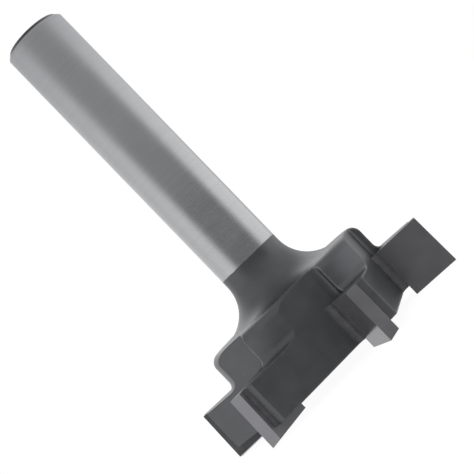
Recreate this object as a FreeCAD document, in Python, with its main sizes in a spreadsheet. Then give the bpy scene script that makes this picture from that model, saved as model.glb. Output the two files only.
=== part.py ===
"""Surfacing router bit: a turned and milled steel body with six brazed carbide tips.

The part stands on its cutting edges with the shank up: +Z is the tool axis and the origin is the point
on that axis level with the lowest corners of the tips. Lengths are in millimetres, angles in degrees.
The first tip's rake face lies in the plane Y = 0, at the +X side, and faces -Y: seen from the shank,
the tool turns clockwise.
"""

import FreeCAD, Part
import math
import os
import Sketcher

# Driving dimensions: name, value, what it measures

SIZES = [
    ("shank_diameter", 12.7, "ground shank, a half-inch collet size"),
    ("shank_length", 57.8, "straight shank, from its end to the start of the neck"),
    ("shank_end_chamfer", 0.9, "bevel round the shank's end"),
    ("neck_radius", 7.3, "concave sweep from the shank into the top of the hub"),
    ("hub_diameter", 36.0, "round hub above the wings"),
    ("hub_height", 6.65, "hub's top face above the wings' top face"),
    ("hub_edge_radius", 1.9, "rounded outer edge of the hub's top face"),
    ("hub_foot_radius", 1.5, "hollow corner where the hub meets the wings"),
    ("wing_count", 6, "wings, flutes and tips, evenly spaced"),
    ("wing_height", 8.25, "steel of the wings, along the axis"),
    ("centre_diameter", 4.0, "mouth of the turning centre in the underside"),
    ("centre_angle", 60.0, "included angle of the turning centre"),
    ("centre_pilot_diameter", 1.6, "pilot hole at the bottom of the turning centre"),
    ("centre_pilot_depth", 2.0, "length of that pilot hole"),
    ("flute_floor_distance", 16.4, "flat floor of a flute, from the tool axis"),
    ("flute_corner_radius", 1.2, "hollow corner between a flute's floor and the tip's seat"),
    ("flute_corner_depth", 0.05, "how far that corner is cut below the floor"),
    ("tip_thickness", 2.5, "carbide, from the rake face to the back"),
    ("tip_projection", 2.15, "cutting corner below the steel's underside"),
    ("tip_end_clearance", 0.15, "tip's inner end from the start of the seat"),
    ("cutting_diameter", 54.0, "across the cutting corners"),
    ("side_projection", 1.8, "cutting corner beyond the steel of its wing"),
    ("side_taper", 1.3, "tip's outer edge, leaning in towards the shank"),
    ("dish_angle", 1.0, "tip's bottom edge, rising towards the axis"),
    ("side_relief", 9.5, "clearance ground on the tip's outer face"),
    ("end_relief", 9.5, "clearance ground on the tip's bottom face"),
    ("braze_thickness", 0.12, "silver-solder layer between the tip and its seat"),
    ("braze_fillet_radius", 0.6, "hollow of the solder in the corner behind the tip's outer end"),
]

# Levels along the tool axis, from the cutting corners up to the shank's end

UNDERSIDE = "sizes.tip_projection"
WING_TOP = f"({UNDERSIDE} + sizes.wing_height)"
HUB_TOP = f"({WING_TOP} + sizes.hub_height)"
NECK_TOP = f"({HUB_TOP} + sizes.neck_radius)"
SHANK_END = f"({NECK_TOP} + sizes.shank_length)"

# Distances from the tool axis

SHANK_RADIUS = "(sizes.shank_diameter / 2)"
NECK_FOOT_RADIUS = f"({SHANK_RADIUS} + sizes.neck_radius)"
HUB_RADIUS = "(sizes.hub_diameter / 2)"
CUTTING_RADIUS = "(sizes.cutting_diameter / 2)"
WING_RADIUS = f"({CUTTING_RADIUS} - sizes.side_projection)"
FLOOR = "sizes.flute_floor_distance"
SEAT_START = f"({FLOOR} - sizes.flute_corner_depth + sizes.flute_corner_radius)"
TIP_INNER_END = f"({SEAT_START} + sizes.tip_end_clearance)"

# Depths behind the rake plane

SEAT_DEPTH = "(sizes.tip_thickness + sizes.braze_thickness)"
CORNER_CENTRE = f"({SEAT_DEPTH} - sizes.flute_corner_radius)"
CORNER_START = (
    f"({CORNER_CENTRE} - sqrt(sizes.flute_corner_radius ^ 2"
    " - (sizes.flute_corner_radius - sizes.flute_corner_depth) ^ 2))"
)
BEAD_RADIUS = f"({TIP_INNER_END} - {FLOOR})"

# The solder's outer fillet touches the tip's back and the wing's rim
FILLET_OFF_AXIS = f"({WING_RADIUS} + sizes.braze_fillet_radius)"
FILLET_DEPTH = "(sizes.tip_thickness + sizes.braze_fillet_radius)"
FILLET_ACROSS = f"sqrt({FILLET_OFF_AXIS} ^ 2 - {FILLET_DEPTH} ^ 2)"
RIM_SHARE = f"({WING_RADIUS} / {FILLET_OFF_AXIS})"

# Depth of the turning centre's cone, and the end of its pilot hole

CONE_TOP = (
    f"({UNDERSIDE} + (sizes.centre_diameter - sizes.centre_pilot_diameter) / 2"
    " / tan(sizes.centre_angle / 2))"
)
PILOT_TOP = f"({CONE_TOP} + sizes.centre_pilot_depth)"

# Sketch references: the sketch's own axes and origin, and the two ends of an edge, counted from one

HORIZONTAL_AXIS, VERTICAL_AXIS = range(-1, -3, -1)
EDGE_START, EDGE_END = range(1, 3)
ORIGIN_POINT = EDGE_START
NEAR = 1e-5


def make_sheet(doc):
    """Puts the driving dimensions into a sheet, one aliased cell each."""
    sheet = doc.addObject("Spreadsheet::Sheet", "sizes")
    for row, (alias, value, note) in enumerate(SIZES, start=1):
        sheet.set(f"A{row}", note)
        sheet.set(f"B{row}", str(value))
        sheet.setAlias(f"B{row}", alias)
    doc.recompute()
    return sheet


def origin_feature(body, role):
    """Finds one of the body's own origin planes or axes."""
    for feature in body.Origin.OriginFeatures:
        if feature.Role == role:
            return feature
    raise ValueError(f"no {role} in {body.Name}")


def new_sketch(body, name, plane):
    """Starts a sketch on one of the body's own origin planes."""
    sketch = body.newObject("Sketcher::SketchObject", name)
    sketch.AttachmentSupport = [(origin_feature(body, plane), "")]
    sketch.MapMode = "FlatFace"
    return sketch


def point_at(sketch, corner):
    """Works out a corner's place in the sketch from its two rules."""
    across, up = (float(sketch.evalExpression(rule)) for rule in corner)
    return FreeCAD.Vector(across, up, 0)


def tie_point(sketch, edge, end, corner):
    """Ties an edge's end to the named distances of a corner."""
    point = point_at(sketch, corner)
    ties = (
        ("DistanceX", corner[0], point.x, VERTICAL_AXIS),
        ("DistanceY", corner[1], point.y, HORIZONTAL_AXIS),
    )
    for kind, rule, value, axis in ties:
        if rule == "0":
            sketch.addConstraint(Sketcher.Constraint("PointOnObject", edge, end, axis))
            continue
        tie = Sketcher.Constraint(kind, HORIZONTAL_AXIS, ORIGIN_POINT, edge, end, value)
        index = sketch.addConstraint(tie)
        sketch.setExpression(f"Constraints[{index}]", rule)


def draw_outline(sketch, corners, arcs=None):
    """Draws a closed outline through the corners.

    arcs maps the number of an edge to its centre, its radius and whether it turns left (counterclockwise).
    """
    arcs = arcs or {}
    ends = []
    for number, corner in enumerate(corners):
        start = point_at(sketch, corner)
        finish = point_at(sketch, corners[(number + 1) % len(corners)])
        if number not in arcs:
            edge = sketch.addGeometry(Part.LineSegment(start, finish), False)
            ends.append((edge, EDGE_START, EDGE_END))
            continue
        centre_corner, radius_rule, turns_left = arcs[number]
        centre = point_at(sketch, centre_corner)
        radius = float(sketch.evalExpression(radius_rule))
        circle = Part.Circle(centre, FreeCAD.Vector(0, 0, 1), radius)
        first, last = (start, finish) if turns_left else (finish, start)
        angles = [math.atan2(point.y - centre.y, point.x - centre.x) for point in (first, last)]
        edge = sketch.addGeometry(Part.ArcOfCircle(circle, *angles), False)
        ends.append((edge, EDGE_START, EDGE_END) if turns_left else (edge, EDGE_END, EDGE_START))
    for number, (edge, start_end, finish_end) in enumerate(ends):
        next_edge, next_start, _ = ends[(number + 1) % len(ends)]
        sketch.addConstraint(Sketcher.Constraint("Coincident", edge, finish_end, next_edge, next_start))
    for number, (edge, start_end, finish_end) in enumerate(ends):
        tie_point(sketch, edge, start_end, corners[number])
        if number in arcs:
            radius_rule = arcs[number][1]
            radius = float(sketch.evalExpression(radius_rule))
            index = sketch.addConstraint(Sketcher.Constraint("Radius", edge, radius))
            sketch.setExpression(f"Constraints[{index}]", radius_rule)


def value_of(sheet, rule):
    """Works out a rule as a plain number."""
    return float(sheet.evalExpression(rule))


def ring_edge(shape, radius, level):
    """Names the full-circle edge with this radius at this level."""
    for number, edge in enumerate(shape.Edges, start=1):
        curve = edge.Curve
        if not isinstance(curve, Part.Circle):
            continue
        if abs(curve.Radius - radius) < NEAR and abs(curve.Center.z - level) < NEAR:
            return f"Edge{number}"
    raise ValueError(f"no ring of radius {radius} at level {level}")


def dress_ring(doc, body, kind, name, ring, size_property, size_rule):
    """Rounds or bevels the circular edge at ring, a pair of rules for its radius and level."""
    sheet = doc.getObject("sizes")
    base = body.Tip
    edge = ring_edge(base.Shape, value_of(sheet, ring[0]), value_of(sheet, ring[1]))
    feature = body.newObject(kind, name)
    feature.Base = (base, [edge])
    feature.setExpression(size_property, size_rule)
    body.Tip = feature
    doc.recompute()


def build_tool_body(doc):
    """Shank, neck, hub and wings: one turned blank with six flutes milled along it."""
    body = doc.addObject("PartDesign::Body", "tool_body")
    body.Label = "tool_body"

    profile = new_sketch(body, "turned_profile", "XZ_Plane")
    corners = [
        ("0", PILOT_TOP),
        ("sizes.centre_pilot_diameter / 2", PILOT_TOP),
        ("sizes.centre_pilot_diameter / 2", CONE_TOP),
        ("sizes.centre_diameter / 2", UNDERSIDE),
        (WING_RADIUS, UNDERSIDE),
        (WING_RADIUS, WING_TOP),
        (HUB_RADIUS, WING_TOP),
        (HUB_RADIUS, HUB_TOP),
        (NECK_FOOT_RADIUS, HUB_TOP),
        (SHANK_RADIUS, NECK_TOP),
        (SHANK_RADIUS, SHANK_END),
        ("0", SHANK_END),
    ]
    neck_edge = corners.index((NECK_FOOT_RADIUS, HUB_TOP))
    neck_arc = ((NECK_FOOT_RADIUS, NECK_TOP), "sizes.neck_radius", False)
    draw_outline(profile, corners, {neck_edge: neck_arc})

    blank = body.newObject("PartDesign::Revolution", "turned_blank")
    blank.Profile = profile
    blank.ReferenceAxis = (profile, ["V_Axis"])
    blank.Angle = 360
    doc.recompute()

    fillet = "PartDesign::Fillet"
    dress_ring(
        doc, body, fillet, "hub_edge", (HUB_RADIUS, HUB_TOP), "Radius", "sizes.hub_edge_radius"
    )
    dress_ring(
        doc, body, fillet, "hub_foot", (HUB_RADIUS, WING_TOP), "Radius", "sizes.hub_foot_radius"
    )
    dress_ring(
        doc,
        body,
        "PartDesign::Chamfer",
        "shank_end_bevel",
        (SHANK_RADIUS, SHANK_END),
        "Size",
        "sizes.shank_end_chamfer",
    )
    solid_before = body.Shape.Volume

    # A flute is open to the front of its tip, and its floor runs on as the back of the next wing.
    flute_plan = new_sketch(body, "flute_plan", "XY_Plane")
    far_side = "sizes.cutting_diameter"
    flute_corners = [
        (FLOOR, CORNER_START),
        (FLOOR, f"-{far_side}"),
        (far_side, f"-{far_side}"),
        (far_side, SEAT_DEPTH),
        (SEAT_START, SEAT_DEPTH),
    ]
    corner_edge = flute_corners.index((SEAT_START, SEAT_DEPTH))
    corner_arc = ((SEAT_START, CORNER_CENTRE), "sizes.flute_corner_radius", True)
    draw_outline(flute_plan, flute_corners, {corner_edge: corner_arc})

    flute = body.newObject("PartDesign::Pocket", "flute")
    flute.Profile = flute_plan
    flute.Type = "ThroughAll"
    flute.Reversed = True
    doc.recompute()
    if body.Shape.Volume > solid_before - NEAR:
        raise ValueError("the flute cut nothing")

    flutes = body.newObject("PartDesign::PolarPattern", "flutes")
    flutes.Originals = [flute]
    flutes.Axis = (origin_feature(body, "Z_Axis"), [""])
    flutes.Angle = 360
    flutes.setExpression("Occurrences", "sizes.wing_count")
    body.Tip = flutes
    doc.recompute()
    return body


def turn_to_wing(body, number):
    """Turns a body made at the first wing round the tool axis to its own wing."""
    body.Placement = FreeCAD.Placement(FreeCAD.Vector(0, 0, 0), FreeCAD.Rotation(0, 0, 0))
    body.setExpression("Placement.Rotation.Angle", f"360 * {number - 1} / sizes.wing_count")


def flat_face(shape, normal, at_most_off=0.1):
    """Names the flat face whose outward normal lies closest to this direction."""
    best = None
    for number, face in enumerate(shape.Faces, start=1):
        off = (face.normalAt(0, 0) - normal).Length
        if off < at_most_off and (best is None or off < best[0]):
            best = (off, f"Face{number}")
    if best is None:
        raise ValueError(f"no face looks along {normal}")
    return best[1]


def grind_relief(doc, body, name, normal, angle_rule):
    """Leans one face of the tip back from its cutting edge in the rake plane."""
    base = body.Tip
    before = base.Shape.Volume
    relief = body.newObject("PartDesign::Draft", name)
    relief.Base = (base, [flat_face(base.Shape, normal)])
    relief.NeutralPlane = (origin_feature(body, "XZ_Plane"), [""])
    relief.setExpression("Angle", angle_rule)
    body.Tip = relief
    doc.recompute()
    if relief.Shape.Volume > before:
        relief.Reversed = True
        doc.recompute()


def build_tip(doc, number):
    """One carbide tip: a plate with its cutting edges in the rake plane, relieved behind them."""
    name = f"carbide_tip_{number}"
    body = doc.addObject("PartDesign::Body", name)
    body.Label = name
    rake = new_sketch(body, f"rake_face_{number}", "XZ_Plane")
    top_corner = f"({CUTTING_RADIUS} - {WING_TOP} * tan(sizes.side_taper))"
    inner_rise = f"(({CUTTING_RADIUS} - {TIP_INNER_END}) * tan(sizes.dish_angle))"
    draw_outline(
        rake,
        [
            (TIP_INNER_END, inner_rise),
            (CUTTING_RADIUS, "0"),
            (top_corner, WING_TOP),
            (TIP_INNER_END, WING_TOP),
        ],
    )
    plate = body.newObject("PartDesign::Pad", f"plate_{number}")
    plate.Profile = rake
    plate.Reversed = True
    plate.setExpression("Length", "sizes.tip_thickness")
    doc.recompute()
    grind_relief(doc, body, f"side_relief_{number}", FreeCAD.Vector(1, 0, 0), "sizes.side_relief")
    grind_relief(doc, body, f"end_relief_{number}", FreeCAD.Vector(0, 0, -1), "sizes.end_relief")
    turn_to_wing(body, number)
    return body


def build_braze(doc, number):
    """Solder under one tip: a thin layer on the seat that ends in a hollow bead on the flute's floor."""
    name = f"braze_joint_{number}"
    body = doc.addObject("PartDesign::Body", name)
    body.Label = name
    section = new_sketch(body, f"braze_section_{number}", "XY_Plane")
    section.setExpression("AttachmentOffset.Base.z", UNDERSIDE)
    seat_end = (f"sqrt({WING_RADIUS} ^ 2 - {SEAT_DEPTH} ^ 2)", SEAT_DEPTH)
    seat_start = (SEAT_START, SEAT_DEPTH)
    bead_foot = (FLOOR, f"-{BEAD_RADIUS}")
    fillet_start = (FILLET_ACROSS, "sizes.tip_thickness")
    fillet_end = (f"{FILLET_ACROSS} * {RIM_SHARE}", f"{FILLET_DEPTH} * {RIM_SHARE}")
    corners = [
        fillet_start,
        fillet_end,
        seat_end,
        seat_start,
        (FLOOR, CORNER_START),
        bead_foot,
        (TIP_INNER_END, "0"),
        (TIP_INNER_END, "sizes.tip_thickness"),
    ]
    arcs = {
        fillet_start: ((FILLET_ACROSS, FILLET_DEPTH), "sizes.braze_fillet_radius", False),
        fillet_end: (("0", "0"), WING_RADIUS, False),
        seat_start: ((SEAT_START, CORNER_CENTRE), "sizes.flute_corner_radius", True),
        bead_foot: ((TIP_INNER_END, f"-{BEAD_RADIUS}"), BEAD_RADIUS, False),
    }
    draw_outline(section, corners, {corners.index(corner): arc for corner, arc in arcs.items()})
    layer = body.newObject("PartDesign::Pad", f"braze_layer_{number}")
    layer.Profile = section
    layer.setExpression("Length", "sizes.wing_height")
    doc.recompute()
    turn_to_wing(body, number)
    return body


def check_document(doc, bodies):
    """Stops if any object failed, or a sub-part isn't one valid solid."""
    for item in doc.Objects:
        if "Invalid" in item.State or "Error" in item.State:
            raise RuntimeError(f"{item.Label} failed: {item.State}")
    for body in bodies:
        shape = body.Shape
        if shape.isNull() or not shape.isValid() or len(shape.Solids) != 1:
            raise RuntimeError(f"{body.Label} isn't one valid solid")


def main():
    doc = FreeCAD.newDocument("surfacing_router_bit")
    sheet = make_sheet(doc)
    bodies = [build_tool_body(doc)]
    for number in range(1, int(value_of(sheet, "sizes.wing_count")) + 1):
        bodies.append(build_tip(doc, number))
        bodies.append(build_braze(doc, number))
    doc.recompute()
    check_document(doc, bodies)
    os.makedirs("parts", exist_ok=True)
    for body in bodies:
        body.Shape.exportStep(os.path.join("parts", f"{body.Label}.step"))
        print(f"{body.Label}: {body.Shape.Volume:.1f} mm3")


main()
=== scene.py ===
"""Surfacing router bit: the finish of its steel body, carbide tips and solder, the camera, light and floor.

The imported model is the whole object, and this script adds no piece to it. Lengths are in metres in the
model's frame: +Z is the tool axis, and the bit stands on its cutting edges.
"""

import math

import bpy
from mathutils import Matrix, Vector

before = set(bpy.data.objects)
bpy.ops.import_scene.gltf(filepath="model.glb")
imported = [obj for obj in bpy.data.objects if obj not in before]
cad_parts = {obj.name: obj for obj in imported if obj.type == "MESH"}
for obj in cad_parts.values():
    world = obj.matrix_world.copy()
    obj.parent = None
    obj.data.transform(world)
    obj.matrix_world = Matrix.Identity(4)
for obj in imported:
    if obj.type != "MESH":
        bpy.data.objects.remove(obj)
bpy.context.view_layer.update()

MM = 0.001
TOOL_AXIS = (0.0, 0.0, 1.0)
UP = Vector(TOOL_AXIS)

# Camera: a view square to the tool axis from just above the hub, rolled so that the shank points up and
# left. The lens and the sensor are in millimetres.

CAMERA_AT = Vector((55.587, -220.637, 23.919)) * MM
CAMERA_AIM = Vector((1.227, 0.300, 29.784)) * MM
CAMERA_ROLL = math.radians(44.043)
CAMERA_LENS = 95.329
SENSOR_WIDTH = 36.0
CLIP_START = 0.01

# Light: the eye sees a white backdrop, matt light comes evenly from all round, and the metal mirrors a
# room. Levels are shares of white and angles are in degrees. With a direction, a pair of angles says how
# far from it a patch is full and where it ends.

BACKDROP_LEVEL = 1.0
MATT_LEVEL = 0.9

# The room has a dark gap on the side from which the bit is seen, darkest at eye level

DARK_SIDE = Vector((0.383, -0.924, 0.0)).normalized()
DARK_ANGLES = (41.0, 74.0)
DARK_LEVELS = (0.07, 0.43)
DARK_RISE = (0.0, 15.0)

# Its walls are white, a little less so on the left, and go over into a grey ceiling

RIGHT_SIDE = DARK_SIDE.cross(-UP)
WALL_LEVELS = (0.93, 1.06)
CEILING_LEVEL = 0.33
CEILING_RISE = (35.0, 90.0)

# The walls' upper part is greyer, except across from the gap

UPPER_WALL_LOSS = 0.30
UPPER_WALL_RISE = (0.0, 20.0)
UPPER_WALL_ANGLES = (115.0, 145.0)

# They have a shaded corner at the back on the left and a darker panel at the back on the right

LEFT_BACK = (-0.73 * RIGHT_SIDE - 0.69 * DARK_SIDE).normalized()
CORNER_LEVEL = 0.84
CORNER_ANGLES = (8.0, 40.0)
RIGHT_BACK = (0.45 * RIGHT_SIDE - 0.89 * DARK_SIDE).normalized()
PANEL_LEVEL = 0.55
PANEL_ANGLES = (6.0, 26.0)

# A soft lamp is high up at the back

REAR_TOP = (0.69 * UP - 0.69 * DARK_SIDE + 0.22 * RIGHT_SIDE).normalized()
LAMP_LEVEL = 0.52
LAMP_ANGLES = (8.0, 32.0)

# Floor: the light that it throws on the bit, and the shadow and the white that the eye sees

FLOOR_RADIUS = 4.0
FLOOR_SIDES = 64
FLOOR_COLOUR = 0.80
FLOOR_SHADE = 0.10
FLOOR_GLOW = 0.945

# Noise: the span of its values that a pair of colours or roughnesses is stretched over

NOISE_SPAN = (0.35, 0.65)

# Edges: how far the steel's milled edges and the carbide's ground edges are rounded over, and the cosines
# between the rounded and the true surface at which an edge begins to count and counts in full

EDGE_BREAK = 0.50 * MM
HONED_EDGE = 0.06 * MM
EDGE_COSINES = (0.998, 0.985)
EDGE_SAMPLES = 8

# Shank: ground steel, duller towards its end, and darker there in painted shade. The square of a root that
# grows with the height is added to its roughness.

LOWER_STEEL = ((0.512, 0.516, 0.530, 1.0), (0.560, 0.565, 0.580, 1.0))
SHADED_UPPER_STEEL = ((0.478, 0.482, 0.500, 1.0), (0.522, 0.527, 0.545, 1.0))
PAINTED_SHADE_OVER = (58.0 * MM, 82.0 * MM)
STEEL_METALLIC = 0.85
STEEL_ROUGH = (0.215, 0.295)
STEEL_ROUGH_SPAN = (0.8, 1.2)
DULLER_OVER = (26.0 * MM, 82.0 * MM)
DULLER_ROOT = (0.0, 0.51)

# Shank's end: a black bevel of painted shade, a painted dark reflection, and a dull face with turning
# marks.
# The cosines part the one from the other.

END_OVER = (81.35 * MM, 81.60 * MM)
END_COSINES = (0.90, 0.97)
BEVEL_PAINTED_DARK = (0.06, 0.06, 0.065, 1.0)
END_FACE = ((0.19, 0.19, 0.20, 1.0), (0.27, 0.27, 0.28, 1.0))
END_ROUGH = 0.45

# Coating: dark, and it ends on the shank just above the neck. In patches the edges that lean forwards, the
# way
# the bit turns, are lighter: bare metal where worn, and a painted highlight along them. Their cosines are
# against the way back.

COATING_TOP = 25.65 * MM
COATING_FADE = (COATING_TOP + 0.20 * MM, COATING_TOP + 0.05 * MM)
COATING_RAG = 0.25 * MM
COATING = ((0.106, 0.108, 0.115, 1.0), (0.132, 0.135, 0.143, 1.0))
COATING_METALLIC = 0.62
COATING_ROUGH = (0.30, 0.42)
BARE_METAL_AND_HIGHLIGHT = (0.30, 0.30, 0.31, 1.0)
BARE_AND_HIGHLIGHT_SHARES = (0.40, 0.85)
BARE_AND_HIGHLIGHT_SPAN = (0.35, 0.60)
BARE_AND_HIGHLIGHT_COSINES = (-0.02, -0.12)

# How deep the shank's lines are against the coating's grain

LINE_DEPTH = 0.6

# Carbide: ground, lapped on its cutting face, and raw where it was brazed and coated. A face looks a
# certain way if the cosine between the two is over FACING_COSINE.

GROUND_CARBIDE = ((0.258, 0.255, 0.271, 1.0), (0.286, 0.282, 0.299, 1.0))
GROUND_METALLIC = 0.77
GROUND_ROUGH = (0.28, 0.34)
LAPPED_METALLIC = 0.69
LAPPED_ROUGH = (0.15, 0.20)
RAW_CARBIDE = ((0.137, 0.138, 0.146, 1.0), (0.171, 0.172, 0.182, 1.0))
RAW_METALLIC = 0.58
RAW_ROUGH = (0.34, 0.44)
HONED_CARBIDE = (0.50, 0.50, 0.52, 1.0)
HONED_SHARE = 0.4
FACING_COSINE = 0.5

# Solder: darkened with the body

SOLDER = ((0.098, 0.099, 0.105, 1.0), (0.134, 0.135, 0.142, 1.0))
SOLDER_METALLIC = 0.5
SOLDER_ROUGH = (0.50, 0.62)


def node(tree, kind, sockets=None, **settings):
    """Adds a node, sets its properties, then fills its sockets: an output is linked, a value is set."""
    made = tree.nodes.new(kind)
    for name, value in settings.items():
        setattr(made, name, value)
    for name, value in (sockets or {}).items():
        if isinstance(value, bpy.types.NodeSocket):
            tree.links.new(value, made.inputs[name])
        else:
            made.inputs[name].default_value = value
    return made


def grey(level):
    return (level, level, level, 1.0)


def cosine(degrees):
    return math.cos(math.radians(degrees))


def in_radians(angles):
    return tuple(math.radians(angle) for angle in angles)


def math_node(tree, operation, first, second=0.0):
    return node(tree, "ShaderNodeMath", {0: first, 1: second}, operation=operation).outputs[0]


def vector_node(tree, operation, first, second=(0.0, 0.0, 0.0), output="Vector"):
    made = node(tree, "ShaderNodeVectorMath", {0: first, 1: second}, operation=operation)
    return made.outputs[output]


def dot_product(tree, first, second):
    return vector_node(tree, "DOT_PRODUCT", first, second, output="Value")


def map_range(tree, value, source, target=(0.0, 1.0), smooth=False):
    """Maps a value from the source range to the target range, and holds it at their ends."""
    kind = "SMOOTHSTEP" if smooth else "LINEAR"
    sockets = {
        "Value": value,
        "From Min": source[0],
        "From Max": source[1],
        "To Min": target[0],
        "To Max": target[1],
    }
    return node(tree, "ShaderNodeMapRange", sockets, interpolation_type=kind).outputs[0]


def mix_colour(tree, factor, first, second):
    """Goes from the first colour to the second. They are the Mix node's inputs 6 and 7, with output 2."""
    sockets = {"Factor": factor, 6: first, 7: second}
    return node(tree, "ShaderNodeMix", sockets, data_type="RGBA").outputs[2]


def mix_value(tree, factor, first, second):
    """Goes from the first value to the second. They are the Mix node's inputs 2 and 3, with output 0."""
    sockets = {"Factor": factor, 2: first, 3: second}
    return node(tree, "ShaderNodeMix", sockets, data_type="FLOAT").outputs[0]


def noise(tree, place, per_metre, detail, rough):
    """Noise whose cells are counted per metre, with one count or one for each direction."""
    if not isinstance(per_metre, tuple):
        per_metre = (per_metre, per_metre, per_metre)
    scaled = node(tree, "ShaderNodeMapping", {"Vector": place, "Scale": per_metre})
    sockets = {"Vector": scaled.outputs[0], "Scale": 1.0, "Detail": detail, "Roughness": rough}
    return node(tree, "ShaderNodeTexNoise", sockets).outputs[0]


def shared(tree, first, second, share):
    """The sum of a share of the first value and the rest of the second."""
    part = math_node(tree, "MULTIPLY", first, share)
    rest = math_node(tree, "MULTIPLY", second, 1.0 - share)
    return math_node(tree, "ADD", part, rest)


def tinted(tree, tone, colours):
    """A colour between two, as a noise has it."""
    return mix_colour(tree, map_range(tree, tone, NOISE_SPAN), *colours)


def varied(tree, tone, values):
    """A value between two, as a noise has it."""
    return map_range(tree, tone, NOISE_SPAN, values)


def model_place(tree):
    """The place in the model's frame."""
    return node(tree, "ShaderNodeTexCoord").outputs["Object"]


def backward_way(tree, place):
    """The way round the tool axis that the bit doesn't turn: anticlockwise, seen from the shank."""
    return vector_node(tree, "NORMALIZE", vector_node(tree, "CROSS_PRODUCT", TOOL_AXIS, place))


def broken_edges(tree, reach):
    """The surface direction with rounded edges, and a value that is 1 along them and 0 beside them."""
    rounded = node(tree, "ShaderNodeBevel", {"Radius": reach}, samples=EDGE_SAMPLES).outputs[0]
    unbroken = node(tree, "ShaderNodeNewGeometry").outputs["Normal"]
    return rounded, map_range(tree, dot_product(tree, rounded, unbroken), EDGE_COSINES)


def bump(tree, height, strength, distance, normal=None):
    """The surface direction of a relief that lies on the given direction, or else on the surface's own."""
    sockets = {"Strength": strength, "Distance": distance, "Height": height}
    if normal is not None:
        sockets["Normal"] = normal
    return node(tree, "ShaderNodeBump", sockets).outputs[0]


def new_material(name):
    material = bpy.data.materials.new(name)
    material.use_nodes = True
    material.node_tree.nodes.clear()
    return material, material.node_tree


def finish_material(tree, shader):
    node(tree, "ShaderNodeOutputMaterial", {"Surface": shader})


def finish_metal(tree, colour, metallic, rough, normal):
    sockets = {"Base Color": colour, "Metallic": metallic, "Roughness": rough, "Normal": normal}
    finish_material(tree, node(tree, "ShaderNodeBsdfPrincipled", sockets).outputs[0])


def ground_steel(tree, place, height):
    """The shank's colour and roughness, and the fine lines that the grinding left round it."""
    lines = noise(tree, place, (120.0, 120.0, 9000.0), detail=5.0, rough=0.7)
    bands = noise(tree, place, (30.0, 30.0, 1500.0), detail=3.0, rough=0.6)
    clouds = noise(tree, place, 110.0, detail=3.0, rough=0.5)
    tone = shared(tree, lines, bands, share=0.5)
    lower = tinted(tree, tone, LOWER_STEEL)
    # The upper steel colour is painted shade: the shank is painted darker towards its end
    upper = tinted(tree, tone, SHADED_UPPER_STEEL)
    colour = mix_colour(tree, map_range(tree, height, PAINTED_SHADE_OVER), lower, upper)
    rough = map_range(tree, math_node(tree, "ADD", lines, clouds), STEEL_ROUGH_SPAN, STEEL_ROUGH)
    root = map_range(tree, height, DULLER_OVER, DULLER_ROOT)
    rough = math_node(tree, "ADD", rough, math_node(tree, "MULTIPLY", root, root))
    return colour, rough, lines


def with_shank_end(tree, place, height, colour, rough):
    """The shank's colour and roughness with those of its end, which isn't ground; its bevel's black is
    painted shade.
    """
    across = vector_node(tree, "MULTIPLY", place, (1.0, 1.0, 0.0))
    off_axis = vector_node(tree, "LENGTH", across, output="Value")
    rings = node(tree, "ShaderNodeCombineXYZ", {"X": off_axis}).outputs[0]
    turned = noise(tree, rings, 5000.0, detail=3.0, rough=0.6)
    face_colour = mix_colour(tree, turned, *END_FACE)
    facing = node(tree, "ShaderNodeNewGeometry").outputs["Normal"]
    on_face = map_range(tree, dot_product(tree, facing, TOOL_AXIS), END_COSINES)
    # The bevel's black is painted shade: a dark reflection painted on it
    end_colour = mix_colour(tree, on_face, BEVEL_PAINTED_DARK, face_colour)
    at_end = map_range(tree, height, END_OVER)
    return mix_colour(tree, at_end, colour, end_colour), mix_value(tree, at_end, rough, END_ROUGH)


def dark_coating(tree, place, rounded, along_edges):
    """The coating's colour and roughness, with bare metal and a painted highlight on its edges, and its
    fine grain.
    """
    grain = noise(tree, place, 6500.0, detail=3.0, rough=0.7)
    clouds = noise(tree, place, 240.0, detail=4.0, rough=0.55)
    tone = shared(tree, grain, clouds, share=0.35)
    patches = noise(tree, place, 1400.0, detail=2.0, rough=0.5)
    patchy = map_range(tree, patches, BARE_AND_HIGHLIGHT_SPAN, BARE_AND_HIGHLIGHT_SHARES)
    leaning = dot_product(tree, rounded, backward_way(tree, place))
    on_flute_side = map_range(tree, leaning, BARE_AND_HIGHLIGHT_COSINES)
    # Lighter edges: worn bare metal, and a painted highlight along the same edges
    bare_and_highlit = math_node(tree, "MULTIPLY", along_edges, math_node(tree, "MULTIPLY", patchy, on_flute_side))
    colour = mix_colour(tree, bare_and_highlit, tinted(tree, tone, COATING), BARE_METAL_AND_HIGHLIGHT)
    return colour, varied(tree, tone, COATING_ROUGH), grain


def body_material():
    """Ground steel on the shank, and the dark coating from a ragged line above the neck down."""
    material, tree = new_material("ground_and_coated_steel")
    place = model_place(tree)
    height = node(tree, "ShaderNodeSeparateXYZ", {0: place}).outputs["Z"]
    ragged = noise(tree, place, 700.0, detail=3.0, rough=0.6)
    line = math_node(tree, "ADD", height, math_node(tree, "MULTIPLY", ragged, COATING_RAG))
    coated = map_range(tree, line, COATING_FADE, smooth=True)
    rounded, along_edges = broken_edges(tree, EDGE_BREAK)
    steel_colour, steel_rough, lines = ground_steel(tree, place, height)
    steel_colour, steel_rough = with_shank_end(tree, place, height, steel_colour, steel_rough)
    coat_colour, coat_rough, grain = dark_coating(tree, place, rounded, along_edges)
    relief = mix_value(tree, coated, math_node(tree, "MULTIPLY", lines, LINE_DEPTH), grain)
    finish_metal(
        tree,
        colour=mix_colour(tree, coated, steel_colour, coat_colour),
        metallic=mix_value(tree, coated, STEEL_METALLIC, COATING_METALLIC),
        rough=mix_value(tree, coated, steel_rough, coat_rough),
        normal=bump(tree, relief, strength=0.25, distance=0.004 * MM, normal=rounded),
    )
    return material


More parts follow.
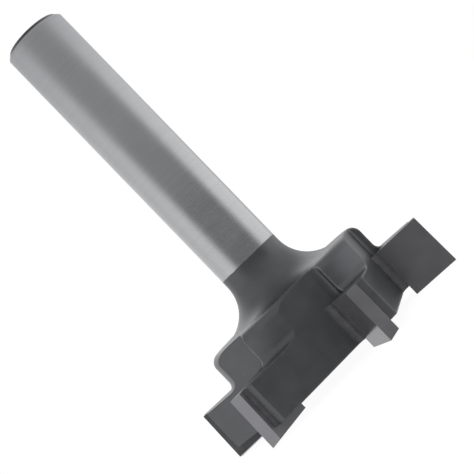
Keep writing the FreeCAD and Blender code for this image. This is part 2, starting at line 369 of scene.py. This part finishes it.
def carbide_material():
    """Tungsten carbide: grey and smooth where it is ground, dark and dull on its other faces.

    A tip's face and its two clearances are ground, the face the finest. Its back, top and inner end are as
    they were brazed and coated.
    """
    material, tree = new_material("ground_carbide")
    place = model_place(tree)
    facing = node(tree, "ShaderNodeNewGeometry").outputs["True Normal"]
    backward = backward_way(tree, place)
    outward = vector_node(tree, "CROSS_PRODUCT", backward, TOOL_AXIS)
    face = math_node(tree, "LESS_THAN", dot_product(tree, facing, backward), -FACING_COSINE)
    back = math_node(tree, "GREATER_THAN", dot_product(tree, facing, backward), FACING_COSINE)
    top = math_node(tree, "GREATER_THAN", dot_product(tree, facing, TOOL_AXIS), FACING_COSINE)
    inner = math_node(tree, "LESS_THAN", dot_product(tree, facing, outward), -FACING_COSINE)
    raw = math_node(tree, "MAXIMUM", math_node(tree, "MAXIMUM", back, top), inner)

    grain = noise(tree, place, 12000.0, detail=3.0, rough=0.6)
    scratches = noise(tree, place, (900.0, 900.0, 12000.0), detail=3.0, rough=0.6)
    clouds = noise(tree, place, 300.0, detail=3.0, rough=0.5)
    tone = shared(tree, grain, clouds, share=0.3)
    rounded, along_edges = broken_edges(tree, HONED_EDGE)
    honed = math_node(tree, "MULTIPLY", along_edges, HONED_SHARE)
    ground_colour = mix_colour(tree, honed, tinted(tree, tone, GROUND_CARBIDE), HONED_CARBIDE)
    ground_metallic = mix_value(tree, face, GROUND_METALLIC, LAPPED_METALLIC)
    ground_rough = mix_value(
        tree, face, varied(tree, tone, GROUND_ROUGH), varied(tree, tone, LAPPED_ROUGH)
    )
    finish_metal(
        tree,
        colour=mix_colour(tree, raw, ground_colour, tinted(tree, tone, RAW_CARBIDE)),
        metallic=mix_value(tree, raw, ground_metallic, RAW_METALLIC),
        rough=mix_value(tree, raw, ground_rough, varied(tree, tone, RAW_ROUGH)),
        normal=bump(tree, scratches, strength=0.08, distance=0.002 * MM, normal=rounded),
    )
    return material


def solder_material():
    """Silver solder: darkened with the body, dull and slightly lumpy."""
    material, tree = new_material("silver_solder")
    place = model_place(tree)
    lumps = noise(tree, place, 1500.0, detail=3.0, rough=0.6)
    tarnish = noise(tree, place, 600.0, detail=3.0, rough=0.6)
    finish_metal(
        tree,
        colour=tinted(tree, tarnish, SOLDER),
        metallic=SOLDER_METALLIC,
        rough=varied(tree, tarnish, SOLDER_ROUGH),
        normal=bump(tree, lumps, strength=0.25, distance=0.015 * MM),
    )
    return material


def dress_nodes():
    """Gives each CAD node its finish."""
    finishes = {
        "tool_body": body_material(),
        "carbide_tip": carbide_material(),
        "braze_joint": solder_material(),
    }
    for name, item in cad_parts.items():
        kind = next(start for start in finishes if name.startswith(start))
        item.data.materials.clear()
        item.data.materials.append(finishes[kind])


def build_floor():
    """A plain pale floor, white to the eye, that keeps the bit's shadow and isn't mirrored in the metal."""
    mesh = bpy.data.meshes.new("floor")
    turns = [2 * math.pi * side / FLOOR_SIDES for side in range(FLOOR_SIDES)]
    ring = [(FLOOR_RADIUS * math.cos(turn), FLOOR_RADIUS * math.sin(turn), 0.0) for turn in turns]
    mesh.from_pydata(ring, [], [list(range(FLOOR_SIDES))])
    floor = bpy.data.objects.new("floor", mesh)
    bpy.context.scene.collection.objects.link(floor)
    material, tree = new_material("pale_floor")
    seen = node(tree, "ShaderNodeLightPath").outputs["Is Camera Ray"]
    matt = node(tree, "ShaderNodeBsdfDiffuse", {"Color": grey(FLOOR_COLOUR)})
    shade = node(tree, "ShaderNodeBsdfDiffuse", {"Color": grey(FLOOR_SHADE)})
    glow = node(tree, "ShaderNodeEmission", {"Color": grey(1.0), "Strength": FLOOR_GLOW})
    white = node(tree, "ShaderNodeAddShader", {0: shade.outputs[0], 1: glow.outputs[0]})
    both = node(tree, "ShaderNodeMixShader", {0: seen, 1: matt.outputs[0], 2: white.outputs[0]})
    finish_material(tree, both.outputs[0])
    mesh.materials.append(material)
    floor.visible_glossy = False


def around(tree, direction, centre, angles, outside, inside):
    """A level inside the first angle round a centre that becomes another one outside the second angle."""
    full, end = angles
    nearness = dot_product(tree, direction, centre)
    return map_range(tree, nearness, (cosine(end), cosine(full)), (outside, inside), smooth=True)


def wall_light(tree, direction, rise):
    """The walls' level, with the shaded corner, the panel and the greyer upper part."""
    across = dot_product(tree, direction, RIGHT_SIDE)
    plain = map_range(tree, across, (-1.0, 1.0), WALL_LEVELS)
    corner = around(tree, direction, LEFT_BACK, CORNER_ANGLES, outside=1.0, inside=CORNER_LEVEL)
    panel = around(tree, direction, RIGHT_BACK, PANEL_ANGLES, outside=1.0, inside=PANEL_LEVEL)
    lost = map_range(tree, rise, in_radians(UPPER_WALL_RISE), (0.0, UPPER_WALL_LOSS), smooth=True)
    beside = around(tree, direction, DARK_SIDE, UPPER_WALL_ANGLES, outside=0.0, inside=1.0)
    upper = math_node(tree, "SUBTRACT", 1.0, math_node(tree, "MULTIPLY", lost, beside))
    shade = math_node(tree, "MULTIPLY", math_node(tree, "MULTIPLY", corner, panel), upper)
    return math_node(tree, "MULTIPLY", plain, shade)


def build_light():
    """A plain studio: the eye sees white behind the bit, and the metal mirrors the room."""
    world = bpy.data.worlds.new("studio")
    bpy.context.scene.world = world
    world.use_nodes = True
    tree = world.node_tree
    tree.nodes.clear()
    direction = node(tree, "ShaderNodeTexCoord").outputs["Generated"]
    height = node(tree, "ShaderNodeSeparateXYZ", {0: direction}).outputs["Z"]
    rise = math_node(tree, "ARCSINE", height)
    overhead = map_range(tree, rise, in_radians(CEILING_RISE))
    room = mix_value(tree, overhead, wall_light(tree, direction, rise), CEILING_LEVEL)
    lamp = around(tree, direction, REAR_TOP, LAMP_ANGLES, outside=0.0, inside=LAMP_LEVEL)
    room = math_node(tree, "ADD", room, lamp)
    off_level = math_node(tree, "ABSOLUTE", rise)
    gap = map_range(tree, off_level, in_radians(DARK_RISE), DARK_LEVELS, smooth=True)
    in_gap = around(tree, direction, DARK_SIDE, DARK_ANGLES, outside=0.0, inside=1.0)
    mirrored = mix_value(tree, in_gap, room, gap)
    rays = node(tree, "ShaderNodeLightPath").outputs
    lit = mix_value(tree, rays["Is Diffuse Ray"], mirrored, MATT_LEVEL)
    strength = mix_value(tree, rays["Is Camera Ray"], lit, BACKDROP_LEVEL)
    background = node(tree, "ShaderNodeBackground", {"Color": grey(1.0), "Strength": strength})
    node(tree, "ShaderNodeOutputWorld", {"Surface": background.outputs[0]})


def build_camera():
    data = bpy.data.cameras.new("camera")
    data.lens = CAMERA_LENS
    data.sensor_width = SENSOR_WIDTH
    data.clip_start = CLIP_START
    camera = bpy.data.objects.new("camera", data)
    bpy.context.scene.collection.objects.link(camera)
    forward = (CAMERA_AIM - CAMERA_AT).normalized()
    level_right = forward.cross(UP).normalized()
    level_up = level_right.cross(forward)
    up = level_up * math.cos(CAMERA_ROLL) + level_right * math.sin(CAMERA_ROLL)
    right = forward.cross(up)
    turn = Matrix((right, up, -forward)).transposed().to_4x4()
    camera.matrix_world = Matrix.Translation(CAMERA_AT) @ turn
    bpy.context.scene.camera = camera


dress_nodes()
build_floor()
build_light()
build_camera()
bpy.context.scene.view_settings.view_transform = "Standard"
